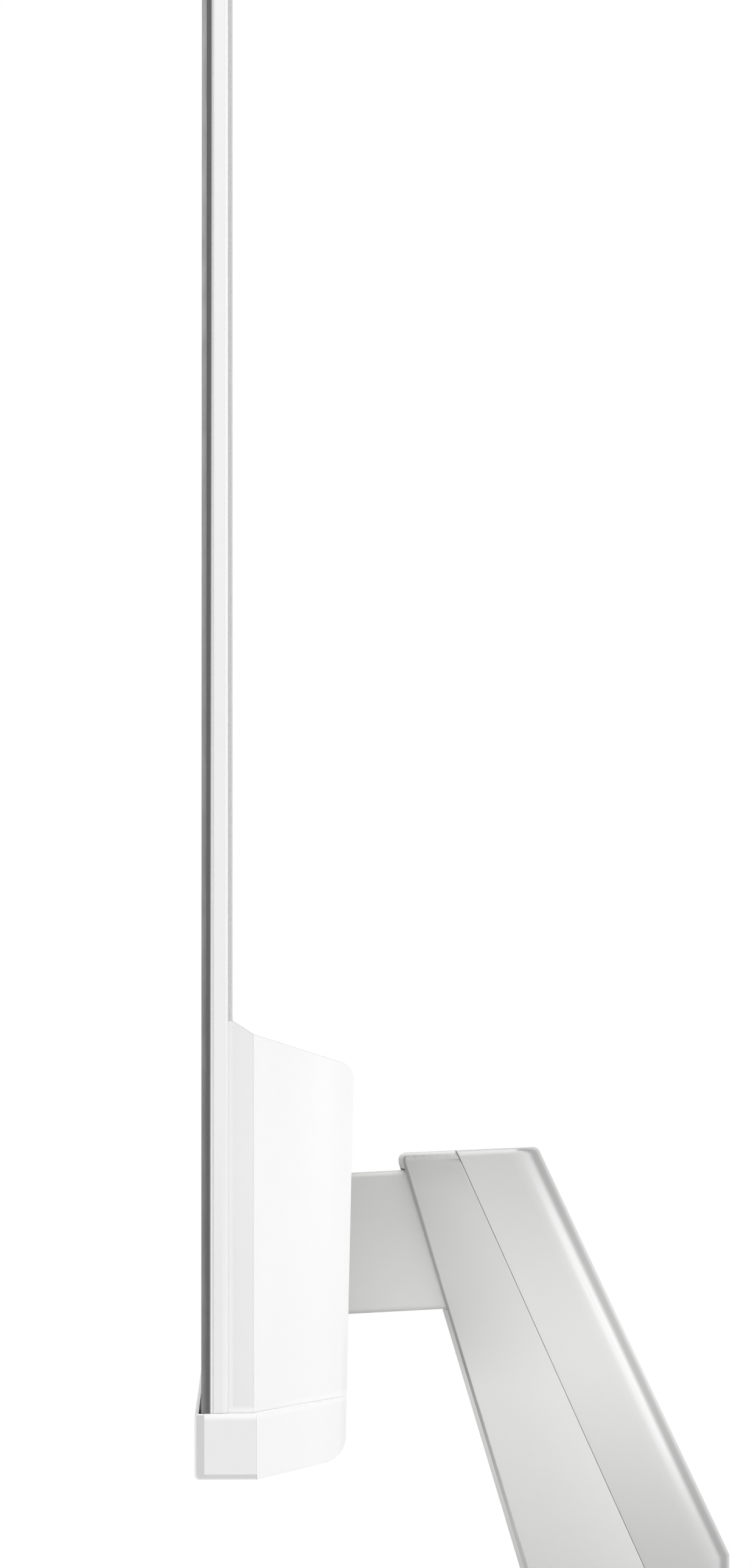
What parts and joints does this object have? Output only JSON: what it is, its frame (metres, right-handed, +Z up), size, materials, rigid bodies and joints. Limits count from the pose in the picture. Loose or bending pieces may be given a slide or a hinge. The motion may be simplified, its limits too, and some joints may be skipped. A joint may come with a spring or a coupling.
{
  "type": "slim desktop monitor",
  "caption": "Slim desktop monitor: thin glass screen, white tapered housing low on the back, raked silver two-shell stand, tilt hinge and press keys under the chin.",
  "frame": {"origin": "on the desk under the middle of the base", "axes": "+X along the screen to the viewer's right, +Y from the viewer to the back, +Z up"},
  "size_m": [0.6126, 0.192, 0.4326],
  "materials": {
    "white_plastic": "fine satin moulded white plastic",
    "screen_glass": "dark glass with a low-reflection coat",
    "black_plastic": "fine matt black plastic",
    "grey_plate": "thin painted aluminium sheet",
    "silver_trim": "satin silver strip",
    "silver_stand": "bead-blasted and anodised silver",
    "steel": "plated steel",
    "dark_steel": "blackened steel",
    "rubber": "matt rubber",
    "circuit_board": "green solder mask",
    "film": "milky optical film",
    "acrylic": "clear acrylic",
    "socket_metal": "plated socket shell"
  },
  "bodies": {
    "stand": {"base_cover": "silver_stand", "base_weight": "dark_steel", "base_bolts": "dark_steel", "rubber_feet": "rubber", "neck_spine": "steel", "neck_front_shell": "silver_stand", "neck_rear_shell": "silver_stand", "stand_arm": "silver_stand", "arm_bolts": "dark_steel", "hinge_shaft": "steel", "friction_washers": "steel", "hinge_nuts": "steel"},
    "screen": {"lcd_glass": "screen_glass", "panel_frame": "black_plastic", "diffuser": "film", "side_frame": "white_plastic", "light_guide": "acrylic", "led_bar": "circuit_board", "reflector": "film", "back_plate": "grey_plate", "chin_trim": "silver_trim", "glass_seal": "black_plastic", "bottom_cover": "white_plastic", "rear_housing": "white_plastic", "vent_grilles": "white_plastic", "housing_screws": "dark_steel", "chassis": "steel", "board_standoffs": "steel", "main_board": "circuit_board", "driver_board": "circuit_board", "port_plate": "black_plastic", "video_sockets": "socket_metal", "audio_socket": "black_plastic", "power_inlet": "black_plastic", "key_board": "circuit_board", "hinge_bracket": "steel", "hinge_screws": "dark_steel"},
    "menu_key_1": {"menu_key_1": "silver_trim"},
    "menu_key_2": {"menu_key_2": "silver_trim"},
    "menu_key_3": {"menu_key_3": "silver_trim"},
    "menu_key_4": {"menu_key_4": "silver_trim"},
    "power_key": {"power_key": "silver_trim"}
  },
  "joints": [
    {"name": "screen_tilt", "type": "hinge", "parent": "stand", "child": "screen", "pos_m": [0, -0.027, 0.114], "axis": [-1, 0, 0], "range_deg": [-5, 20]},
    {"name": "menu_key_1_press", "type": "slide", "parent": "screen", "child": "menu_key_1", "axis": [0, 0, 1], "range_m": [0, 0.0007], "stiffness_N_per_m": 1500},
    {"name": "menu_key_2_press", "type": "slide", "parent": "screen", "child": "menu_key_2", "axis": [0, 0, 1], "range_m": [0, 0.0007], "stiffness_N_per_m": 1500},
    {"name": "menu_key_3_press", "type": "slide", "parent": "screen", "child": "menu_key_3", "axis": [0, 0, 1], "range_m": [0, 0.0007], "stiffness_N_per_m": 1500},
    {"name": "menu_key_4_press", "type": "slide", "parent": "screen", "child": "menu_key_4", "axis": [0, 0, 1], "range_m": [0, 0.0007], "stiffness_N_per_m": 1500},
    {"name": "power_key_press", "type": "slide", "parent": "screen", "child": "power_key", "axis": [0, 0, 1], "range_m": [0, 0.0007], "stiffness_N_per_m": 1500}
  ]
}
